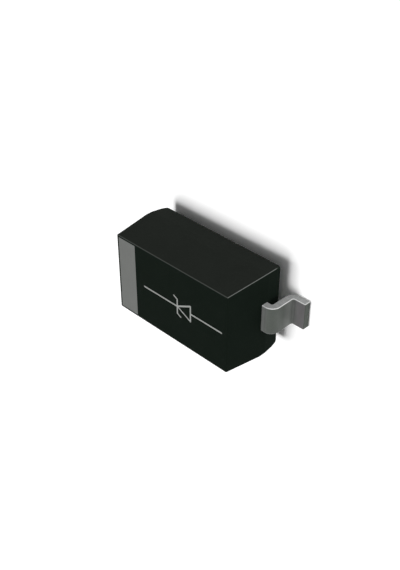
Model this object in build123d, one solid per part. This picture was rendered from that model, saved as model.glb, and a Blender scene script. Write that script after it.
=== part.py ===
from build123d import *
import os
from math import radians, tan

# Surface mount zener diode in a small two-lead moulded outline. All sizes are in millimetres.
# X runs along the body from the cathode end to the anode end, Y runs across it, and Z points up.
# The origin lies on the board's plane, under the middle of the body.

# Moulded body
body_length = 2.65
body_width = 1.59
body_height = 1.20
standoff = 0.14
draft_angle = 5.0
body_edge_radius = 0.015
underside_edge_radius = 0.08
ejector_mark_diameter = 0.60
ejector_mark_depth = 0.02

# Lead frame, stamped from one strip
strip_thickness = 0.13
strip_edge_radius = 0.015
lead_width = 0.50
lead_exit_height = 0.49
drop_reach = 0.23
foot_reach = 0.47
bend_inner_radius = 0.03

# Lead frame inside the body
shoulder_cover = 0.30
side_cover = 0.30
frame_gap = 0.40
post_length = 0.45
post_width = 0.80
frame_corner_radius = 0.06
lock_notch_radius = 0.09
lock_notch_setback = 0.20

# Silicon chip
die_width = 0.46
die_thickness = 0.18
die_setback = 0.60
contact_width = 0.28
contact_corner_radius = 0.04
contact_height = 0.01

# Solder under the chip
solder_thickness = 0.02
solder_climb = 0.05
solder_margin = 0.05
solder_brim = 0.012

# Bond wire
wire_diameter = 0.05
wire_cover = 0.20
loop_radius = 0.10
touchdown_radius = 0.20
ball_diameter = 0.13
ball_height = 0.035
ball_edge_chamfer = 0.012
stitch_setback = 0.18
stitch_length = 0.15
stitch_width = 0.10
stitch_height = 0.02
wire_squash = 0.008

# Cathode band, a film of ink level with the marked face
band_width = 0.395
band_end_margin = 0.04
band_side_margin = 0.02
ink_thickness = 0.01

# Levels and stations that follow from the sizes above
underside_z = standoff
marked_face_z = standoff + body_height
strip_bottom_z = lead_exit_height
strip_top_z = lead_exit_height + strip_thickness
body_end_x = body_length / 2
shoulder_x = body_end_x - shoulder_cover
flag_width = body_width - 2 * side_cover
post_inner_x = shoulder_x - post_length
flag_inner_x = post_inner_x - frame_gap
die_x = -shoulder_x + die_setback
die_bottom_z = strip_top_z + solder_thickness
die_top_z = die_bottom_z + die_thickness
contact_top_z = die_top_z + contact_height
draft_inset = (marked_face_z - strip_top_z) * tan(radians(draft_angle))
face_length = body_length - 2 * draft_inset
face_width = body_width - 2 * draft_inset


def gull_wing_strip():
    """The strip at the +X end: out at the parting plane, down, and out again as a flat foot."""
    strip_middle_z = strip_bottom_z + strip_thickness / 2
    drop_x = body_end_x + drop_reach - strip_thickness / 2
    route = FilletPolyline(
        (shoulder_x - frame_corner_radius, 0, strip_middle_z),
        (drop_x, 0, strip_middle_z),
        (drop_x, 0, strip_thickness / 2),
        (body_end_x + foot_reach, 0, strip_thickness / 2),
        radius=bend_inner_radius + strip_thickness / 2,
    )
    start = Plane(origin=route @ 0, x_dir=(0, 1, 0), z_dir=route % 0)
    section = start * RectangleRounded(lead_width, strip_thickness, strip_edge_radius)
    return sweep(section, route)


def frame_plate(low_x, high_x, width):
    """A flat piece of the lead frame with rounded corners, lying in the parting land."""
    outline = Pos((low_x + high_x) / 2, 0, strip_bottom_z) * RectangleRounded(
        high_x - low_x, width, frame_corner_radius
    )
    return extrude(outline, strip_thickness)


def make_anode_lead():
    """Gull-wing lead with a wide post inside the body, where the bond wire ends."""
    return gull_wing_strip() + frame_plate(post_inner_x, shoulder_x, post_width)


def make_cathode_lead():
    """The same gull wing turned round, with a notched flag inside the body that carries the chip."""
    flag = frame_plate(-shoulder_x, flag_inner_x, flag_width)
    notch_x = -shoulder_x + lock_notch_setback
    for side in (-1, 1):
        notch = Pos(notch_x, side * flag_width / 2, strip_bottom_z) * Circle(lock_notch_radius)
        flag -= extrude(notch, strip_thickness)
    return gull_wing_strip().rotate(Axis.Z, 180) + flag


def make_zener_die():
    """The sawn silicon chip with its raised square anode contact."""
    chip = extrude(Pos(die_x, 0, die_bottom_z) * Rectangle(die_width, die_width), die_thickness)
    contact = RectangleRounded(contact_width, contact_width, contact_corner_radius)
    return chip + extrude(Pos(die_x, 0, die_top_z) * contact, contact_height)


def make_die_attach(die):
    """Solder under the chip, spread past its edges and drawn a little way up its sides."""
    foot_width = die_width + 2 * solder_margin
    brim_width = die_width + 2 * solder_brim
    foot = RectangleRounded(foot_width, foot_width, solder_margin)
    brim = RectangleRounded(brim_width, brim_width, solder_brim)
    brim_z = die_bottom_z + solder_climb
    return loft([Pos(die_x, 0, strip_top_z) * foot, Pos(die_x, 0, brim_z) * brim]) - die


def make_bond_wire():
    """Ball on the chip's contact, a low loop over to the post, and a stitch pressed flat on it."""
    wire_radius = wire_diameter / 2
    crown_z = marked_face_z - wire_cover - wire_radius
    touchdown_z = strip_top_z + wire_radius - wire_squash
    stitch_x = post_inner_x + stitch_setback
    rise = crown_z - contact_top_z - ball_height
    route = FilletPolyline(
        (die_x, 0, contact_top_z + ball_height / 2),
        (die_x, 0, crown_z),
        (stitch_x - stitch_length / 2, 0, touchdown_z),
        (stitch_x, 0, touchdown_z),
        radius=[min(loop_radius, rise / 2), touchdown_radius],
    )
    start = Plane(origin=route @ 0, x_dir=(0, 1, 0), z_dir=route % 0)
    loop = split(sweep(start * Circle(wire_radius), route), Plane.XY.offset(strip_top_z), keep=Keep.TOP)
    ball = extrude(Pos(die_x, 0, contact_top_z) * Circle(ball_diameter / 2), ball_height)
    ball = chamfer(ball.edges(), ball_edge_chamfer)
    stitch_outline = Pos(stitch_x, 0, strip_top_z) * Ellipse(stitch_length / 2, stitch_width / 2)
    return loop + ball + extrude(stitch_outline, stitch_height)


def make_cathode_band():
    """A thin film of ink across the marked face, beside the cathode end and level with the face."""
    band_middle_x = -face_length / 2 + band_end_margin + band_width / 2
    outline = Pos(band_middle_x, 0, marked_face_z - ink_thickness) * Rectangle(
        band_width, face_width - 2 * (body_edge_radius + band_side_margin)
    )
    return extrude(outline, ink_thickness)


def make_body(held_pieces):
    """One block of black moulding compound, moulded round the lead frame, the chip and the wire."""
    parting_outline = Rectangle(body_length, body_width)
    land = extrude(Pos(0, 0, strip_bottom_z) * parting_outline, strip_thickness)
    upper_height = marked_face_z - strip_top_z
    upper = extrude(Pos(0, 0, strip_top_z) * parting_outline, upper_height, taper=draft_angle)
    lower_height = strip_bottom_z - underside_z
    lower = extrude(
        Pos(0, 0, strip_bottom_z) * parting_outline, lower_height, dir=(0, 0, -1), taper=draft_angle
    )
    block = upper + land + lower
    block = fillet(block.faces().sort_by(Axis.Z)[-1].edges(), body_edge_radius)
    block = fillet(block.faces().sort_by(Axis.Z)[0].edges(), underside_edge_radius)
    ejector_mark = Pos(0, 0, underside_z) * Circle(ejector_mark_diameter / 2)
    block -= extrude(ejector_mark, ejector_mark_depth)
    for piece in held_pieces:
        block -= piece
    return block


cathode_lead = make_cathode_lead()
anode_lead = make_anode_lead()
zener_die = make_zener_die()
die_attach = make_die_attach(zener_die)
bond_wire = make_bond_wire()
cathode_band = make_cathode_band()
body = make_body([cathode_lead, anode_lead, zener_die, die_attach, bond_wire, cathode_band])

os.makedirs("parts", exist_ok=True)
nodes = {
    "body": body,
    "cathode_lead": cathode_lead,
    "anode_lead": anode_lead,
    "zener_die": zener_die,
    "die_attach": die_attach,
    "bond_wire": bond_wire,
    "cathode_band": cathode_band,
}
for name, shape in nodes.items():
    export_step(shape, f"parts/{name}.step")
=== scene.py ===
from math import cos, pi, radians, sin, tan

import bmesh
import bpy
from mathutils import Matrix, Vector


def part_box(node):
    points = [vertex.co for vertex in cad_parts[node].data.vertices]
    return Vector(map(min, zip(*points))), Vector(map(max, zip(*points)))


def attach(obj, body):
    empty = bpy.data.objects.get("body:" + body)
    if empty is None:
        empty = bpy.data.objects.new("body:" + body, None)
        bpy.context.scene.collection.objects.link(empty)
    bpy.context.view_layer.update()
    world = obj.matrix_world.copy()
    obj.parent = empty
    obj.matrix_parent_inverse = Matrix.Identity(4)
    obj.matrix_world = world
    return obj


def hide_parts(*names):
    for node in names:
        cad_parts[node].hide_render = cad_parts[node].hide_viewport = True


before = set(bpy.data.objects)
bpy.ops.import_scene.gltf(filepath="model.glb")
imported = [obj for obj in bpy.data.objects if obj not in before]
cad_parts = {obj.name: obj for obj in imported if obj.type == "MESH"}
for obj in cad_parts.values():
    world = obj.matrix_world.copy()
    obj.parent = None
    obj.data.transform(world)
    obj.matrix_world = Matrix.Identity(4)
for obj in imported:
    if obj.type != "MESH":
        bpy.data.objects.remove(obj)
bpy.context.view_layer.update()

# Lead frame
# The two leads are blanked from one strip of copper alloy, 0.13 mm thick, and plated with matt
# tin. Inside the body one widens to the flag that carries the chip, the other to the post for
# the wire. After moulding, each is formed down and out, so that both feet lie level.
strip_thickness = 0.13
strip_bottom = 0.49
strip_top = strip_bottom + strip_thickness
strip_edge_radius = 0.015
lead_half_width = 0.25
shoulder = 1.025
frame_corner_radius = 0.06
flag_end = -0.175
flag_half_width = 0.495
lock_notch_radius = 0.09
lock_notch_place = 0.825
post_end = 0.575
post_half_width = 0.40
bend_inner_radius = 0.03
bend_ribs = 12
drop_place = 1.49
drop_run = 0.30
foot_run = 0.21
bend_radius = bend_inner_radius + strip_thickness / 2
bend_arc = bend_radius * pi / 2
first_bend = drop_place - bend_radius
second_bend = first_bend + bend_arc + drop_run
toe = second_bend + bend_arc + foot_run


def feed(tree, socket, source):
    """Joins a socket to another node's output, or sets it to a number, a colour or a word."""
    if isinstance(source, bpy.types.NodeSocket):
        tree.links.new(source, socket)
    else:
        socket.default_value = source


def add(tree, kind, given=None, **settings):
    """Adds a node. settings are its own properties, and given says what its sockets get."""
    node = tree.nodes.new(kind)
    for name, value in settings.items():
        setattr(node, name, value)
    for name, source in (given or {}).items():
        feed(tree, node.inputs[name], source)
    return node


def reckon(tree, operation, *terms):
    """One step of arithmetic on numbers and outputs."""
    return add(tree, "ShaderNodeMath", dict(enumerate(terms)), operation=operation).outputs[0]


def apart(tree, vector):
    """The X, Y and Z of a place or a direction."""
    return add(tree, "ShaderNodeSeparateXYZ", {0: vector}).outputs


def new_tree(name, kind, takes, gives):
    """Starts a node group with named inputs and outputs."""
    tree = bpy.data.node_groups.new(name, kind)
    for label, socket, value in takes:
        made = tree.interface.new_socket(label, in_out="INPUT", socket_type="NodeSocket" + socket)
        if value is not None:
            made.default_value = value
    for label, socket in gives:
        tree.interface.new_socket(label, in_out="OUTPUT", socket_type="NodeSocket" + socket)
    return tree, add(tree, "NodeGroupInput").outputs, add(tree, "NodeGroupOutput").inputs


def finish_tree(tree, shape, finish, result):
    """The end of every shape's tree: real geometry, in its own finish."""
    real = add(tree, "GeometryNodeRealizeInstances", {"Geometry": shape})
    finished = add(tree, "GeometryNodeSetMaterial", {
        "Geometry": real.outputs[0], "Material": finish})
    feed(tree, result, finished.outputs[0])


def arc(x, y, radius, first, last, steps=8):
    """Points along an arc about x, y, from one angle to another, in degrees."""
    angles = [radians(first + (last - first) * i / steps) for i in range(steps + 1)]
    return [(x + radius * cos(a), y + radius * sin(a)) for a in angles]


def as_object(shape, name):
    """Puts a shape on an object, to be worked on."""
    mesh = bpy.data.meshes.new(name)
    shape.to_mesh(mesh)
    shape.free()
    made = bpy.data.objects.new(name, mesh)
    bpy.context.scene.collection.objects.link(made)
    return made


def fit_tree(draft, tree, values):
    """Adds a Geometry Nodes modifier and sets its named inputs by their identifiers."""
    modifier = draft.modifiers.new(tree.name, "NODES")
    modifier.node_group = tree
    for item in tree.interface.items_tree:
        if item.in_out == "INPUT" and item.name in values:
            modifier[item.identifier] = values[item.name]


def worked_mesh(draft):
    """The plain mesh that the draft's modifiers give."""
    graph = bpy.context.evaluated_depsgraph_get()
    return bpy.data.meshes.new_from_object(
        draft.evaluated_get(graph), preserve_all_data_layers=True, depsgraph=graph)


def settle(draft):
    """Works the draft's modifiers into its mesh."""
    draft.data = worked_mesh(draft)
    draft.modifiers.clear()


def soften_faces(draft, sharpest=35):
    """Shades roundings smoothly, while each flat face keeps its own direction."""
    draft.data.shade_smooth()
    draft.data.set_sharp_from_angle(angle=radians(sharpest))
    evened = draft.modifiers.new("even", "WEIGHTED_NORMAL")
    evened.keep_sharp = True
    settle(draft)


def set_in_frame(draft, name, slot, *stands_for):
    """Makes the finished piece from a draft in millimetres, and lets it ride on the part."""
    mesh = draft.data.copy()
    mesh.transform(Matrix.Scale(0.001, 4))
    piece = bpy.data.objects.new(name, mesh)
    bpy.context.scene.collection.objects.link(piece)
    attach(piece, "root")
    if stands_for:
        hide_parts(*stands_for)


def make_bend_strip():
    """Takes a length of flat strip up into a bend. What lies past it swings round with it."""
    tree, given, result = new_tree("bend_strip", "GeometryNodeTree", [
        ("Strip", "Geometry", None), ("Start", "Float", 1.0), ("Radius", "Float", 0.1),
        ("Angle", "Float", 1.5), ("Middle", "Float", 0.5),
    ], [("Strip", "Geometry")])
    place = apart(tree, add(tree, "GeometryNodeInputPosition").outputs[0])
    length = reckon(tree, "MULTIPLY", given["Radius"], reckon(tree, "ABSOLUTE", given["Angle"]))
    past = reckon(tree, "MAXIMUM", reckon(tree, "SUBTRACT", place["X"], given["Start"]), 0.0)
    taken = reckon(tree, "MINIMUM", past, length)
    turned = reckon(tree, "MULTIPLY", given["Angle"], reckon(tree, "DIVIDE", taken, length))
    drawn_in = add(tree, "ShaderNodeCombineXYZ", {
        "X": reckon(tree, "SUBTRACT", place["X"], taken), "Y": place["Y"], "Z": place["Z"]})
    side = reckon(tree, "SIGN", given["Angle"])
    pivot = add(tree, "ShaderNodeCombineXYZ", {"X": given["Start"], "Z": reckon(
        tree, "SUBTRACT", given["Middle"], reckon(tree, "MULTIPLY", given["Radius"], side))})
    swung = add(tree, "ShaderNodeVectorRotate", {
        "Vector": drawn_in.outputs[0], "Center": pivot.outputs[0], "Angle": turned,
    }, rotation_type="Y_AXIS")
    bent = add(tree, "GeometryNodeSetPosition", {
        "Geometry": given["Strip"], "Position": swung.outputs[0]})
    feed(tree, result["Strip"], bent.outputs[0])
    return tree


def make_form_gull_wing():
    """Forms a blank down and out again, and notes each point's place on the flat strip."""
    tree, given, result = new_tree("form_gull_wing", "GeometryNodeTree", [
        ("Blank", "Geometry", None), ("First Bend", "Float", 1.4), ("Second Bend", "Float", 1.8),
        ("Radius", "Float", 0.1), ("Middle", "Float", 0.5), ("Turn", "Float", 0.0),
        ("Plating", "Material", None),
    ], [("Lead", "Geometry")])
    formed = add(tree, "GeometryNodeStoreNamedAttribute", {
        "Geometry": given["Blank"], "Name": "flat_place",
        "Value": add(tree, "GeometryNodeInputPosition").outputs[0],
    }, data_type="FLOAT_VECTOR", domain="POINT").outputs[0]
    for start, angle in (("Second Bend", -pi / 2), ("First Bend", pi / 2)):
        formed = add(tree, "GeometryNodeGroup", {
            "Strip": formed, "Start": given[start], "Radius": given["Radius"],
            "Angle": angle, "Middle": given["Middle"]}, node_tree=bend_strip).outputs[0]
    turn = add(tree, "ShaderNodeCombineXYZ", {"Z": given["Turn"]})
    turned = add(tree, "GeometryNodeTransform", {"Geometry": formed, "Rotation": turn.outputs[0]})
    finish_tree(tree, turned.outputs[0], given["Plating"], result["Lead"])
    return tree


def blank_lead(inner_end, half_width, notch_place=None):
    """One lead as it leaves the punch: flat, with a rib across it wherever it will be bent."""
    corner = frame_corner_radius
    edge = arc(inner_end + corner, half_width - corner, corner, 180, 90)
    if notch_place:
        edge += arc(notch_place, half_width, lock_notch_radius, 180, 360, 16)
    edge += arc(shoulder - corner, half_width - corner, corner, 90, 0)
    edge += [(shoulder, lead_half_width), (first_bend, lead_half_width)]
    ribs = [first_bend + bend_arc * i / bend_ribs for i in range(1, bend_ribs + 1)]
    ribs += [second_bend + bend_arc * i / bend_ribs for i in range(bend_ribs + 1)] + [toe]
    shape = bmesh.new()

    def across(x, y):
        """A point on each edge of the strip."""
        return [shape.verts.new((x, side * y, strip_bottom)) for side in (1, -1)]

    rows = [across(x, y) for x, y in edge]
    shape.faces.new([left for left, right in rows] + [right for left, right in rows[::-1]])
    row = rows[-1]
    for x in ribs:
        following = across(x, lead_half_width)
        shape.faces.new((row[0], following[0], following[1], row[1]))
        row = following
    grown = bmesh.ops.extrude_face_region(shape, geom=shape.faces[:])["geom"]
    lifted = [part for part in grown if isinstance(part, bmesh.types.BMVert)]
    bmesh.ops.translate(shape, vec=(0, 0, strip_thickness), verts=lifted)
    bmesh.ops.recalc_face_normals(shape, faces=shape.faces)
    return shape


def mix_values(tree, factor, first, second):
    """A number between two others."""
    return add(tree, "ShaderNodeMix", {"Factor": factor, "A": first, "B": second}).outputs[0]


def make_fine_grain():
    """The shader group for a fine surface texture: its shade and its height, both from 0 to 1."""
    tree, given, result = new_tree("fine_grain", "ShaderNodeTree", [
        ("Place", "Vector", None), ("Grains", "Float", 40.0), ("Softness", "Float", 0.5),
        ("Patches", "Float", 4.0), ("Patchiness", "Float", 0.3),
    ], [("Shade", "Float"), ("Height", "Float")])
    grain = add(tree, "ShaderNodeTexNoise", {
        "Vector": given["Place"], "Scale": given["Grains"], "Detail": 4.0,
        "Roughness": given["Softness"]})
    patch = add(tree, "ShaderNodeTexNoise", {
        "Vector": given["Place"], "Scale": given["Patches"], "Detail": 3.0, "Roughness": 0.6})
    feed(tree, result["Shade"], mix_values(
        tree, given["Patchiness"], grain.outputs[0], patch.outputs[0]))
    feed(tree, result["Height"], grain.outputs[0])
    return tree


def start_finish(name, base, roughness, metallic=0.0, specular=0.5):
    """Starts a material: its nodes and its shader."""
    finish = bpy.data.materials.new(name)
    finish.use_nodes = True
    tree = finish.node_tree
    shader = tree.nodes["Principled BSDF"]
    for socket, value in (("Base Color", (*base, 1)), ("Roughness", roughness),
                          ("Metallic", metallic), ("Specular IOR Level", specular)):
        shader.inputs[socket].default_value = value
    return finish, tree, shader


def grain_at(tree, place, grains, softness=0.5, patches=4.0, patchiness=0.3):
    """Places the fine grain in a material with its own values."""
    return add(tree, "ShaderNodeGroup", {
        "Place": place, "Grains": grains, "Softness": softness,
        "Patches": patches, "Patchiness": patchiness}, node_tree=fine_grain).outputs


def streaks(tree, place, squeeze, detail=2.0):
    """Fine lines: a noise that is squeezed more in one direction than in another."""
    squeezed = add(tree, "ShaderNodeMapping", {"Vector": place, "Scale": squeeze}).outputs[0]
    return add(tree, "ShaderNodeTexNoise", {
        "Vector": squeezed, "Scale": 1.0, "Detail": detail}).outputs[0]


def blend_colours(tree, factor, first, second):
    """A colour between two others."""
    mixed = add(tree, "ShaderNodeMix", data_type="RGBA")
    for number, source in ((0, factor), (6, first), (7, second)):
        feed(tree, mixed.inputs[number], source if isinstance(source, (float, bpy.types.NodeSocket))
             else (*source, 1))
    return mixed.outputs[2]


def spread(tree, value, low, high, to_low=0.0, to_high=1.0, smooth=False):
    """Brings a value's range to another one, and no further."""
    return add(tree, "ShaderNodeMapRange", {
        "Value": value, "From Min": low, "From Max": high, "To Min": to_low, "To Max": to_high,
    }, interpolation_type="SMOOTHSTEP" if smooth else "LINEAR").outputs[0]


def emboss(tree, shader, height, depth):
    """Gives the surface a relief, with its depth in millimetres."""
    relief = add(tree, "ShaderNodeBump", {"Height": height, "Distance": depth * 0.001})
    feed(tree, shader.inputs["Normal"], relief.outputs[0])


def make_tin_plate():
    """Matt tin. Painted light lifts the shade at the exit, the fold and the foot; the top edges get
    a painted highlight.
    """
    finish, tree, shader = start_finish("matt_tin_plate", (0.09, 0.096, 0.09), 0.5, 0.2, 0.2)
    flat = add(tree, "ShaderNodeAttribute", attribute_name="flat_place").outputs["Vector"]
    parts = apart(tree, flat)

    # How far from an edge, or along the flat strip, each zone's colour fades out.
    edge_zone = (0.002, 0.006)
    highlight_zone = (0.004, 0.013)
    exit_light_zone = (first_bend - 0.03, first_bend + 0.03)
    fold_middle = second_bend + 0.02
    fold_zone = (0.08, 0.22)

    grain = grain_at(tree, flat, 60.0, 0.6, 5.0, 0.4)
    roll_lines = streaks(tree, flat, (2, 70, 70), 3.0)
    shear_lines = streaks(tree, flat, (110, 110, 6))
    # Masks: outside the body, on the sheared side and end faces, along their top edges for the
    # painted highlight, and for the painted light on the foot, at the exit from the body and at the
    # fold above the foot.
    outside = spread(tree, parts["X"], shoulder - 0.004, shoulder)
    off_side = reckon(tree, "ABSOLUTE", reckon(
        tree, "SUBTRACT", reckon(tree, "ABSOLUTE", parts["Y"]), lead_half_width))
    off_top = reckon(tree, "SUBTRACT", strip_top, parts["Z"])
    off_end = reckon(tree, "SUBTRACT", toe, parts["X"])
    # The sheared sides are paler: partly their own sheared finish, partly painted light from the
    # side.
    side = reckon(tree, "MULTIPLY", outside, spread(tree, off_side, *edge_zone, 1.0, 0.0))
    # The toe end is bare cut metal; its darker colour is partly painted shade against the floor's
    # reflection.
    end = spread(tree, off_end, *edge_zone, 1.0, 0.0)
    # A painted highlight along the top edges of the sheared sides.
    painted_highlight = reckon(tree, "MULTIPLY", outside, spread(tree, reckon(
        tree, "MAXIMUM", off_side, reckon(tree, "MINIMUM", off_top, off_end)),
        *highlight_zone, 1.0, 0.0))
    # Painted light: the foot, the exit and the fold are made paler where shade falls on them.
    foot = spread(tree, parts["X"], second_bend, second_bend + bend_arc, smooth=True)
    painted_exit_light = spread(tree, parts["X"], *exit_light_zone, 1.0, 0.0)
    painted_fold_light = spread(tree, reckon(tree, "ABSOLUTE", reckon(
        tree, "SUBTRACT", parts["X"], fold_middle)), *fold_zone, 1.0, 0.0)

    shade = spread(tree, mix_values(
        tree, reckon(tree, "MAXIMUM", side, end), grain["Shade"], shear_lines), 0.3, 0.7)
    colour = blend_colours(tree, shade, (0.061, 0.0685, 0.061), (0.085, 0.0945, 0.085))
    # Each mask's colour: foot, fold and exit are painted light, side is partly painted light, end
    # is partly painted shade, and the highlight colour is a painted highlight.
    for mask, low, high in (
            (foot, (0.086, 0.083, 0.085), (0.119, 0.114, 0.118)),
            (painted_fold_light, (0.122, 0.129, 0.122), (0.157, 0.166, 0.157)),
            (painted_exit_light, (0.163, 0.17, 0.163), (0.203, 0.211, 0.203)),
            (side, (0.14, 0.144, 0.141), (0.205, 0.208, 0.206)),
            (end, (0.035, 0.041, 0.035), (0.052, 0.061, 0.052)),
            (painted_highlight, (0.4, 0.405, 0.4), (0.52, 0.525, 0.52))):
        colour = blend_colours(tree, mask, colour, blend_colours(tree, shade, low, high))
    feed(tree, shader.inputs["Base Color"], colour)
    feed(tree, shader.inputs["Roughness"], spread(tree, shade, 0.0, 1.0, 0.42, 0.56))
    height = reckon(tree, "ADD", reckon(tree, "MULTIPLY", roll_lines, 0.5), shade)
    emboss(tree, shader, height, 0.0012)
    return finish


fine_grain = make_fine_grain()
bend_strip = make_bend_strip()
form_gull_wing = make_form_gull_wing()
tin_plate = make_tin_plate()
cutters = {}  # finished drafts, each of which later cuts its own place out of the body
for lead, turn, inner in (("cathode", pi, (flag_end, flag_half_width, lock_notch_place)),
                          ("anode", 0.0, (post_end, post_half_width))):
    draft = as_object(blank_lead(*inner), lead + "_draft")
    fit_tree(draft, form_gull_wing, {
        "First Bend": first_bend, "Second Bend": second_bend, "Radius": bend_radius,
        "Middle": strip_bottom + strip_thickness / 2, "Turn": turn, "Plating": tin_plate})
    rolled = draft.modifiers.new("rolled_edges", "BEVEL")
    rolled.width = strip_edge_radius
    rolled.segments = 4
    rolled.use_clamp_overlap = False
    rolled.limit_method = "ANGLE"
    rolled.angle_limit = radians(40)
    settle(draft)
    soften_faces(draft)
    set_in_frame(draft, lead + "_gull_wing", "tin_plated_strip", lead + "_lead")
    cutters[lead] = draft

# Chip solder
# The chip is soldered to the flag with a preform of lead-rich solder. It flows out a little
# past the chip on all sides and draws up round its foot, and freezes with a dull skin.


def object_place(tree):
    """The object's own place, in millimetres."""
    return add(tree, "ShaderNodeMapping", {
        "Vector": add(tree, "ShaderNodeTexCoord").outputs["Object"],
        "Scale": (1000, 1000, 1000)}).outputs[0]


def dress(node, finish):
    """Gives a part of the frame its finish."""
    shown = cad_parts[node]
    shown.data.materials.clear()
    shown.data.materials.append(finish)


def make_solder():
    """Dull reflowed solder, with the pale islands in which it froze."""
    finish, tree, shader = start_finish("frozen_solder", (0.42, 0.42, 0.4), 0.4, 1.0)
    place = object_place(tree)
    islands = add(tree, "ShaderNodeTexVoronoi", {"Vector": place, "Scale": 38.0},
                  feature="SMOOTH_F1").outputs[0]
    grain = grain_at(tree, place, 70.0)
    shade = reckon(tree, "MULTIPLY", spread(tree, islands, 0.1, 0.8), grain["Shade"])
    feed(tree, shader.inputs["Base Color"], blend_colours(
        tree, spread(tree, shade, 0.1, 0.5), (0.52, 0.52, 0.5), (0.3, 0.3, 0.29)))
    feed(tree, shader.inputs["Roughness"], spread(tree, shade, 0.1, 0.5, 0.3, 0.5))
    emboss(tree, shader, shade, 0.003)
    return finish


dress("die_attach", make_solder())

# Zener chip
# A square chip of silicon, lapped on top and sawn from its wafer, so its sides show the saw's
# fine level lines. The raised pad in the middle of its top is the anode's metal contact.
contact_height = 0.01


def make_silicon():
    """Polished silicon with sawn sides, and the pale metal of the contact above its top."""
    finish, tree, shader = start_finish("sawn_silicon", (0.1, 0.11, 0.13), 0.25, 0.9)
    place = object_place(tree)
    level = apart(tree, place)["Z"]
    chip_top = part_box("zener_die")[1].z * 1000 - contact_height
    side = spread(tree, level, chip_top - 0.004, chip_top - 0.001, 1.0, 0.0)
    pad = spread(tree, level, chip_top + 0.0005, chip_top + 0.0015)
    saw_lines = streaks(tree, place, (3, 3, 160))
    grain = grain_at(tree, place, 90.0)
    silicon = blend_colours(tree, grain["Shade"], (0.09, 0.1, 0.125), (0.13, 0.14, 0.165))
    sawn_face = blend_colours(tree, saw_lines, (0.1, 0.1, 0.11), (0.22, 0.22, 0.23))
    bare = blend_colours(tree, side, silicon, sawn_face)
    metal = blend_colours(tree, grain["Shade"], (0.6, 0.6, 0.6), (0.75, 0.75, 0.74))
    feed(tree, shader.inputs["Base Color"], blend_colours(tree, pad, bare, metal))
    feed(tree, shader.inputs["Roughness"], spread(tree, side, 0.0, 1.0, 0.2, 0.5))
    emboss(tree, shader, reckon(tree, "MULTIPLY", saw_lines, side), 0.001)
    return finish


dress("zener_die", make_silicon())

# Bond wire
# A gold wire, 0.05 mm thick. Its melted end is pressed on the chip's pad as a flat ball, then
# it rises, loops over to the post in one low sweep, and is stitched down flat on the post.
wire_radius = 0.025
pad_top = 0.83
ball_place = -0.425
ball_rises_and_radii = [
    (0, 0.053), (0.004, 0.060), (0.011, 0.064), (0.0175, 0.065), (0.024, 0.064),
    (0.031, 0.060), (0.035, 0.053), (0.037, 0.040), (0.048, 0.036), (0.060, wire_radius),
]
wire_crown = 1.115
loop_bend = 0.10
landing_place = 0.68
landing_level = 0.637
landing_bend = 0.20
wire_end = 0.805


def make_draw_wire():
    """Draws a wire along a line whose points carry the bend's radius and the wire's own."""
    tree, given, result = new_tree("draw_wire", "GeometryNodeTree", [
        ("Line", "Geometry", None), ("Bend Steps", "Int", 12), ("Stitch Start", "Float", 0.6),
        ("Stitch End", "Float", 0.8), ("Post Top", "Float", 0.6), ("Flatness", "Float", 0.3),
        ("Gold", "Material", None),
    ], [("Wire", "Geometry")])

    def noted(name):
        """What the line's points carry under this name."""
        return add(tree, "GeometryNodeInputNamedAttribute", {"Name": name}).outputs[0]

    line = add(tree, "GeometryNodeMeshToCurve", {"Mesh": given["Line"]})
    rounded = add(tree, "GeometryNodeFilletCurve", {
        "Curve": line.outputs[0], "Count": given["Bend Steps"], "Radius": noted("bend_radius"),
        "Limit Radius": True}, mode="POLY")
    section = add(tree, "GeometryNodeCurvePrimitiveCircle", {"Resolution": 24, "Radius": 1.0})
    drawn = add(tree, "GeometryNodeCurveToMesh", {
        "Curve": rounded.outputs[0], "Profile Curve": section.outputs[0],
        "Scale": noted("wire_radius"), "Fill Caps": True})
    place = apart(tree, add(tree, "GeometryNodeInputPosition").outputs[0])
    pressed = spread(tree, place["X"], given["Stitch Start"], given["Stitch End"], smooth=True)
    above = reckon(tree, "SUBTRACT", place["Z"], given["Post Top"])
    squeeze = reckon(tree, "SUBTRACT", 1.0, reckon(
        tree, "MULTIPLY", pressed, reckon(tree, "SUBTRACT", 1.0, given["Flatness"])))
    widen = reckon(tree, "ADD", 1.0, pressed)
    flat = add(tree, "ShaderNodeCombineXYZ", {
        "X": place["X"], "Y": reckon(tree, "MULTIPLY", place["Y"], widen),
        "Z": reckon(tree, "ADD", given["Post Top"], reckon(
            tree, "MULTIPLY", reckon(tree, "MAXIMUM", above, 0.0), squeeze))})
    stitched = add(tree, "GeometryNodeSetPosition", {
        "Geometry": drawn.outputs[0], "Position": flat.outputs[0]})
    finish_tree(tree, stitched.outputs[0], given["Gold"], result["Wire"])
    return tree


def make_gold():
    """Bright gold with the die's fine lines along the wire and a slight matt bloom."""
    finish, tree, shader = start_finish("drawn_gold", (0.85, 0.62, 0.25), 0.25, 1.0)
    place = object_place(tree)
    grain = grain_at(tree, place, 120.0, 0.6, 8.0, 0.3)
    feed(tree, shader.inputs["Base Color"], blend_colours(
        tree, grain["Shade"], (0.78, 0.54, 0.2), (0.9, 0.68, 0.3)))
    feed(tree, shader.inputs["Roughness"], spread(tree, grain["Shade"], 0.3, 0.7, 0.18, 0.34))
    emboss(tree, shader, streaks(tree, place, (6, 260, 60)), 0.0006)
    return finish


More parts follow.
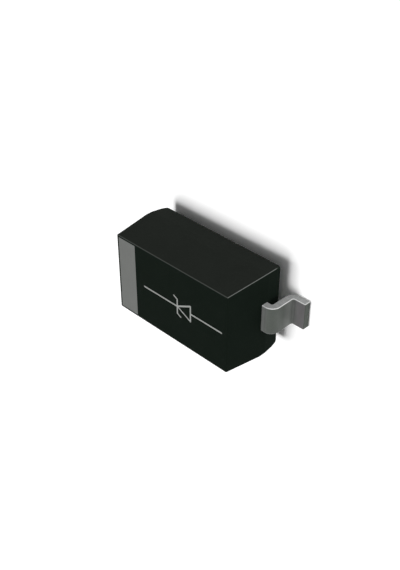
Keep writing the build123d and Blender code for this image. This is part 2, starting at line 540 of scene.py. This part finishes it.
wire_stations = [(ball_place, pad_top + rise, 0, radius) for rise, radius in ball_rises_and_radii]
wire_stations += [
    (ball_place, wire_crown, loop_bend, wire_radius),
    (landing_place, landing_level, landing_bend, wire_radius),
    (wire_end, landing_level, 0, wire_radius),
]
line = bpy.data.meshes.new("wire_line")
line.from_pydata([(x, 0, z) for x, z, bend, size in wire_stations],
                 [(i, i + 1) for i in range(len(wire_stations) - 1)], [])
for name, column in (("bend_radius", 2), ("wire_radius", 3)):
    line.attributes.new(name, "FLOAT", "POINT").data.foreach_set(
        "value", [station[column] for station in wire_stations])
draft = bpy.data.objects.new("wire_draft", line)
bpy.context.scene.collection.objects.link(draft)
fit_tree(draft, make_draw_wire(), {
    "Bend Steps": 12, "Stitch Start": 0.66, "Stitch End": 0.74, "Post Top": strip_top,
    "Flatness": 0.4, "Gold": make_gold()})
settle(draft)
draft.data.shade_smooth()
draft.data.set_sharp_from_angle(angle=radians(50))
set_in_frame(draft, "gold_bond_wire", "gold_wire", "bond_wire")
cutters["wire"] = draft

# Face mark
# A diode's drawn symbol stands on the marked face, its bar towards the band. A laser writes
# such marks: it burns the compound's black skin away to a pale floor a few microns down.
marked_face = 1.34
mark_depth = 0.004
burnt_depth = 0.012
cut_clearance = 0.01
stroke_width = 0.032
mark_strokes = [
    [(-0.62, 0), (0.16, 0)],
    [(0.085, 0.18), (0.16, 0.14), (0.16, -0.14), (0.235, -0.18)],
    [(0.16, 0), (0.46, 0.15), (0.46, -0.15), (0.16, 0)],
    [(0.46, 0), (1.14, 0)],
]


def make_write_strokes():
    """Makes every line of a drawing a flat stroke with round ends and joints, all in one."""
    tree, given, result = new_tree("write_strokes", "GeometryNodeTree", [
        ("Lines", "Geometry", None), ("Width", "Float", 0.03), ("Thickness", "Float", 0.01),
        ("Finish", "Material", None),
    ], [("Strokes", "Geometry")])
    curve = add(tree, "GeometryNodeSetCurveNormal", {
        "Curve": add(tree, "GeometryNodeMeshToCurve", {"Mesh": given["Lines"]}).outputs[0],
    }, mode="Z_UP")
    section = add(tree, "GeometryNodeCurvePrimitiveQuadrilateral", {
        "Width": given["Width"], "Height": given["Thickness"]})
    strips = add(tree, "GeometryNodeCurveToMesh", {
        "Curve": curve.outputs[0], "Profile Curve": section.outputs[0], "Fill Caps": True})
    disc = add(tree, "GeometryNodeMeshCylinder", {
        "Vertices": 24, "Radius": reckon(tree, "DIVIDE", given["Width"], 2.0),
        "Depth": given["Thickness"]})
    corners = add(tree, "GeometryNodeMergeByDistance", {
        "Geometry": given["Lines"], "Distance": 0.001})
    joints = add(tree, "GeometryNodeInstanceOnPoints", {
        "Points": corners.outputs[0], "Instance": disc.outputs[0]})
    both = add(tree, "GeometryNodeJoinGeometry")
    for shape in (strips, joints):
        tree.links.new(shape.outputs[0], both.inputs[0])
    whole = add(tree, "GeometryNodeMeshBoolean", {"Self Intersection": True},
                operation="UNION", solver="EXACT")
    feed(tree, whole.inputs["Mesh 2"], add(
        tree, "GeometryNodeRealizeInstances", {"Geometry": both.outputs[0]}).outputs[0])
    finish_tree(tree, whole.outputs[0], given["Finish"], result["Strokes"])
    return tree


def make_mark_finish():
    """The pale, slightly glassy floor that the laser leaves, crossed by its scan lines."""
    finish, tree, shader = start_finish("laser_mark", (0.32, 0.33, 0.32), 0.6, 0.0, 0.2)
    place = object_place(tree)
    grain = grain_at(tree, place, 45.0, 0.6, 6.0, 0.3)
    shade = mix_values(tree, 0.35, grain["Shade"], streaks(tree, place, (4, 90, 4), 1.0))
    feed(tree, shader.inputs["Base Color"], blend_colours(
        tree, spread(tree, shade, 0.3, 0.65), (0.23, 0.24, 0.23), (0.38, 0.395, 0.38)))
    feed(tree, shader.inputs["Roughness"], spread(tree, shade, 0.3, 0.7, 0.5, 0.75))
    emboss(tree, shader, shade, 0.002)
    return finish


write_strokes = make_write_strokes()
mark_finish = make_mark_finish()


def join_close_points(draft):
    """Joins the points that a cut or a union has left almost in one place."""
    joined = draft.modifiers.new("joined", "WELD")
    joined.merge_threshold = 0.0001
    settle(draft)


def draw_mark(name, low, high):
    """The whole drawing as one flat solid between two levels."""
    lines = bmesh.new()
    for stroke in mark_strokes:
        for ends in zip(stroke, stroke[1:]):
            lines.edges.new([lines.verts.new((x, y, (low + high) / 2)) for x, y in ends])
    drawn = as_object(lines, name)
    fit_tree(drawn, write_strokes, {
        "Width": stroke_width, "Thickness": high - low, "Finish": mark_finish})
    settle(drawn)
    join_close_points(drawn)
    return drawn


draft = draw_mark("mark_draft", marked_face - burnt_depth, marked_face - mark_depth)
set_in_frame(draft, "face_mark", "band_ink")
bpy.data.objects.remove(draft)
cutters["mark_recess"] = draw_mark(
    "mark_recess", marked_face - burnt_depth, marked_face + cut_clearance)

# Moulded body
# One block of black epoxy compound, moulded round the lead frame, the chip and the wire. Its
# sides lean by 5 degrees from a short upright land at the parting plane, so that it leaves
# the mould, and an ejector pin has left a round mark under it.
body_half_length = 1.325
body_half_width = 0.795
body_bottom = 0.14
land_edge = 0.003
draft_angle = 5
lean = radians(draft_angle)
draft_slope = tan(lean)
underside_radius = 0.08
top_edge_radius = 0.015
upright_edge_radius = 0.015
low_corner_radius = 0.045
low_corner_top = 0.30
low_corner_full = 0.20
ejector_radius = 0.30
ejector_depth = 0.02


def body_profile():
    """How far in from the parting outline the body's skin lies, from level to level.

    A row stands close on each side of the land's edges, so that they stay crisp when shaded.
    """
    low_tangent = body_bottom + underside_radius * (1 - sin(lean))
    low_centre = (strip_bottom - low_tangent) * draft_slope + underside_radius * cos(lean)
    top_tangent = marked_face - top_edge_radius * (1 - sin(lean))
    top_centre = (top_tangent - strip_top) * draft_slope + top_edge_radius * cos(lean)
    rows = [(low_centre - x, z) for x, z in arc(
        0, body_bottom + underside_radius, underside_radius, -90, -draft_angle, 12)]
    rows += [((strip_bottom - z) * draft_slope, z)
             for z in (0.75 * low_corner_full + 0.25 * low_corner_top, low_corner_top)]
    for level in (strip_bottom, strip_top):
        rows += [(max(strip_bottom - z, z - strip_top, 0) * draft_slope, z)
                 for z in (level - land_edge, level, level + land_edge)]
    return rows + [(top_centre - x, z) for x, z in arc(
        0, marked_face - top_edge_radius, top_edge_radius, draft_angle, 90, 6)]


def body_ring(inset, level):
    """The body's outline at one level. Its four upright edges grow rounder near the underside."""
    rounder = min(max((low_corner_top - level) / (low_corner_top - low_corner_full), 0), 1)
    radius = upright_edge_radius + (low_corner_radius - upright_edge_radius) * rounder
    centre_x = body_half_length - inset - radius
    centre_y = body_half_width - inset - radius
    ring = []
    for quarter, (along, over) in enumerate(((1, 1), (-1, 1), (-1, -1), (1, -1))):
        ring += arc(along * centre_x, over * centre_y, radius,
                    quarter * 90, quarter * 90 + 90, 5)
    return [(x, y, level) for x, y in ring]


def mould_block():
    """The closed outer skin."""
    shape = bmesh.new()
    rings = [[shape.verts.new(point) for point in body_ring(*row)] for row in body_profile()]
    for lower, upper in zip(rings, rings[1:]):
        for i in range(len(lower)):
            j = (i + 1) % len(lower)
            shape.faces.new((lower[i], lower[j], upper[j], upper[i]))
    shape.faces.new(rings[0][::-1])
    shape.faces.new(rings[-1])
    bmesh.ops.recalc_face_normals(shape, faces=shape.faces)
    return shape


def box_draft(name, low, high):
    """A plain box to cut with."""
    shape = bmesh.new()
    bmesh.ops.create_cube(shape, size=1)
    for corner in shape.verts:
        corner.co = [(a + b) / 2 + c * (b - a) for a, b, c in zip(low, high, corner.co)]
    return as_object(shape, name)


def copy_of_node(node):
    """A merged copy of a part of the frame, in millimetres, to cut with."""
    shape = bmesh.new()
    shape.from_mesh(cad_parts[node].data)
    bmesh.ops.scale(shape, vec=(1000, 1000, 1000), verts=shape.verts)
    bmesh.ops.remove_doubles(shape, verts=shape.verts, dist=0.00005)
    return as_object(shape, node + "_copy")


def cut_away(draft, cutter):
    """Takes the cutter's shape out of the draft."""
    cut = draft.modifiers.new("cut", "BOOLEAN")
    cut.operation = "DIFFERENCE"
    cut.solver = "MANIFOLD"
    cut.object = cutter
    settle(draft)


def make_edge_highlight_masks():
    """The shader group that finds a drafted block's upright edges and its top's long edges."""
    tree, given, result = new_tree("edge_highlight_masks", "ShaderNodeTree", [
        ("Place", "Vector", None), ("Half Length", "Float", 1.0), ("Half Width", "Float", 1.0),
        ("Top", "Float", 1.0), ("Land Low", "Float", 0.5), ("Land High", "Float", 0.6),
        ("Slope", "Float", 0.1), ("Reach", "Float", 0.03),
    ], [("Upright", "Float"), ("Long Top", "Float")])
    place = apart(tree, given["Place"])
    off_land = reckon(tree, "MAXIMUM", reckon(tree, "MAXIMUM", reckon(
        tree, "SUBTRACT", given["Land Low"], place["Z"]), reckon(
        tree, "SUBTRACT", place["Z"], given["Land High"])), 0.0)
    inset = reckon(tree, "MULTIPLY", off_land, given["Slope"])

    def from_face(half, axis):
        """How far in a place lies from a leaning face."""
        skin = reckon(tree, "SUBTRACT", given[half], inset)
        return reckon(tree, "SUBTRACT", skin, reckon(tree, "ABSOLUTE", place[axis]))

    from_end = from_face("Half Length", "X")
    from_side = from_face("Half Width", "Y")
    from_top = reckon(tree, "SUBTRACT", given["Top"], place["Z"])
    for label, other in (("Upright", from_end), ("Long Top", from_top)):
        away = reckon(tree, "MAXIMUM", from_side, other)
        feed(tree, result[label], reckon(tree, "MAXIMUM", reckon(
            tree, "SUBTRACT", 1.0, reckon(tree, "DIVIDE", away, given["Reach"])), 0.0))
    return tree


def make_compound():
    """Black filled epoxy: the mould's fine matt grain, glassy filler specks, painted highlights
    along the edges, and paler long sides as painted light.
    """
    finish, tree, shader = start_finish("black_compound", (0.006, 0.009, 0.007), 0.6, 0.0, 0.006)
    place = object_place(tree)
    grain = grain_at(tree, place, 34.0, 0.6, 3.0, 0.5)
    specks = add(tree, "ShaderNodeTexVoronoi", {"Vector": place, "Scale": 24.0}).outputs[0]
    speck = spread(tree, specks, 0.10, 0.16, 1.0, 0.0, smooth=True)
    edges = add(tree, "ShaderNodeGroup", {
        "Place": place, "Half Length": body_half_length, "Half Width": body_half_width,
        "Top": marked_face, "Land Low": strip_bottom, "Land High": strip_top,
        "Slope": draft_slope, "Reach": 0.012}, node_tree=edge_highlight_masks).outputs
    # Painted highlights: strong along the upright edges, fainter along the top's long edges.
    painted_edge_highlight = reckon(tree, "ADD", edges["Upright"],
                    reckon(tree, "MULTIPLY", edges["Long Top"], 0.4))
    # The long sides get a paler copy of the skin, as painted light from the side.
    facing = apart(tree, add(tree, "ShaderNodeTexCoord").outputs["Normal"])
    painted_long_side_light = spread(tree, reckon(tree, "ABSOLUTE", facing["Y"]), 0.5, 0.9, smooth=True)
    shade = spread(tree, grain["Shade"], 0.3, 0.7)
    skin = blend_colours(tree, shade, (0.0046, 0.0074, 0.0054), (0.0064, 0.0100, 0.0074))
    lit_side_skin = blend_colours(tree, shade, (0.0073, 0.0086, 0.0073), (0.0096, 0.0112, 0.0096))
    colour = blend_colours(tree, painted_long_side_light, skin, lit_side_skin)
    colour = blend_colours(tree, reckon(tree, "MULTIPLY", speck, 0.25), colour,
                           (0.03, 0.034, 0.031))
    colour = blend_colours(tree, painted_edge_highlight, colour, (0.18, 0.19, 0.18))
    feed(tree, shader.inputs["Base Color"], colour)
    feed(tree, shader.inputs["Roughness"], spread(tree, grain["Shade"], 0.3, 0.7, 0.52, 0.66))
    emboss(tree, shader, grain["Height"], 0.0015)
    return finish


edge_highlight_masks = make_edge_highlight_masks()
draft = as_object(mould_block(), "body_draft")
draft.data.materials.append(make_compound())
band_low, band_high = (corner * 1000 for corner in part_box("cathode_band"))
band_high.z += cut_clearance
cutters["band_recess"] = box_draft("band_recess", band_low, band_high)
pin = bmesh.new()
bmesh.ops.create_cone(pin, cap_ends=True, segments=72, radius1=ejector_radius,
                      radius2=ejector_radius, depth=2 * ejector_depth,
                      matrix=Matrix.Translation((0, 0, body_bottom)))
cutters["ejector_pin"] = as_object(pin, "ejector_pin")
for node in ("die_attach", "zener_die"):
    cutters[node] = copy_of_node(node)
for cutter in cutters.values():
    cut_away(draft, cutter)
join_close_points(draft)
soften_faces(draft)
set_in_frame(draft, "moulded_body", "moulding_compound", "body")
for used in (draft, *cutters.values()):
    bpy.data.objects.remove(used)

# Cathode band
# A broad stripe of pale grey ink, printed across the marked face beside the cathode end. It
# lies level with the face, and its edge stops just short of the body's rounded edges.


def make_band_ink():
    """Matt ink with a faint squeegee drag across the body and a few pinholes."""
    finish, tree, shader = start_finish("grey_band_ink", (0.145, 0.15, 0.143), 0.6, 0.0, 0.1)
    place = object_place(tree)
    grain = grain_at(tree, place, 40.0, 0.55, 3.0, 0.5)
    holes = add(tree, "ShaderNodeTexVoronoi", {"Vector": place, "Scale": 16.0}).outputs[0]
    hole = spread(tree, holes, 0.05, 0.09, 1.0, 0.0, smooth=True)
    shade = mix_values(tree, 0.3, grain["Shade"], streaks(tree, place, (50, 2, 2)))
    colour = blend_colours(tree, spread(tree, shade, 0.3, 0.7), (0.132, 0.137, 0.131),
                           (0.158, 0.164, 0.156))
    feed(tree, shader.inputs["Base Color"], blend_colours(
        tree, reckon(tree, "MULTIPLY", hole, 0.5), colour, (0.08, 0.085, 0.08)))
    feed(tree, shader.inputs["Roughness"], spread(tree, shade, 0.3, 0.7, 0.52, 0.68))
    emboss(tree, shader, reckon(tree, "SUBTRACT", shade, hole), 0.0015)
    return finish


dress("cathode_band", make_band_ink())

# Studio
# A white table in a pale room, with soft lamps overhead, on every side and below, whose light
# passes the table. The table is whiter for the camera and for mirrored rays than for the light
# that it throws back, so the background is white and the shadow stays.
paper_lit = (0.8, 0.8, 0.8)
paper_seen = (1.15, 1.15, 1.15)
room_low = (0.35, 0.35, 0.35)
room_high = (0.08, 0.08, 0.08)


def aim(name, towards, strength, softness):
    """A soft lamp at a great distance, in the direction given."""
    lamp = bpy.data.lights.new(name, "SUN")
    lamp.energy = strength
    lamp.angle = radians(softness)
    made = bpy.data.objects.new(name, lamp)
    made.rotation_euler = Vector(towards).to_track_quat("Z", "Y").to_euler()
    bpy.context.scene.collection.objects.link(made)


def seen_directly(tree):
    """1 for the rays of the camera, and for those mirrored or let through, and 0 for others."""
    light = add(tree, "ShaderNodeLightPath").outputs
    return reckon(tree, "MAXIMUM", light["Is Camera Ray"], reckon(
        tree, "MAXIMUM", light["Is Glossy Ray"], light["Is Transmission Ray"]))


aim("overhead_lamp", (-0.1, -0.11, 1), 2.6, 22)
aim("wide_lamp", (0, 0, 1), 0.3, 100)
aim("side_lamp", (0.1, 0.99, 0), 3.4, 8)
aim("end_lamp", (1, 0.05, -0.1), 1.4, 20)
aim("far_lamp", (-0.7, -0.7, -0.1), 2.6, 20)
aim("under_lamp", (0.1, -0.1, -1), 2.0, 60)
world = bpy.data.worlds.new("pale_room")
world.use_nodes = True
tree = world.node_tree
upward = apart(tree, add(tree, "ShaderNodeTexCoord").outputs["Generated"])["Z"]
sky = blend_colours(tree, spread(tree, upward, 0.0, 0.3, smooth=True), room_low, room_high)
feed(tree, tree.nodes["Background"].inputs["Color"], blend_colours(
    tree, seen_directly(tree), sky, (1, 1, 1)))
bpy.context.scene.world = world

table_top = bmesh.new()
bmesh.ops.create_grid(table_top, x_segments=1, y_segments=1, size=1)
table = as_object(table_top, "white_table")
paper = bpy.data.materials.new("white_paper")
paper.use_nodes = True
tree = paper.node_tree
tree.nodes.remove(tree.nodes["Principled BSDF"])
matt = add(tree, "ShaderNodeBsdfDiffuse", {
    "Color": blend_colours(tree, seen_directly(tree), paper_lit, paper_seen)})
clear = add(tree, "ShaderNodeBsdfTransparent")
one_sided = add(tree, "ShaderNodeMixShader", {
    0: reckon(tree, "MAXIMUM", add(tree, "ShaderNodeNewGeometry").outputs["Backfacing"],
              add(tree, "ShaderNodeLightPath").outputs["Is Shadow Ray"]),
    1: matt.outputs[0], 2: clear.outputs[0]})
feed(tree, tree.nodes["Material Output"].inputs["Surface"], one_sided.outputs[0])
table.data.materials.append(paper)

# Camera
# It looks down on the marked face, the +Y side and the +X end alike, with +Y upwards, through
# a lens a little longer than normal, so that the far end is drawn only slightly smaller.
eye = (0.0085262, 0.0085257, 0.0091877)
lens = bpy.data.cameras.new("camera")
lens.lens = 56.19
lens.sensor_width = 36
lens.clip_start = 0.001
lens.clip_end = 1
camera = bpy.data.objects.new("camera", lens)
back = Vector((1, 1, 1)).normalized()
right = Vector((1, 0, -1)).normalized()
camera.matrix_world = Matrix.Translation(eye) @ Matrix(
    (right, back.cross(right), back)).transposed().to_4x4()
bpy.context.scene.collection.objects.link(camera)
bpy.context.scene.camera = camera
bpy.context.scene.view_settings.view_transform = "Standard"
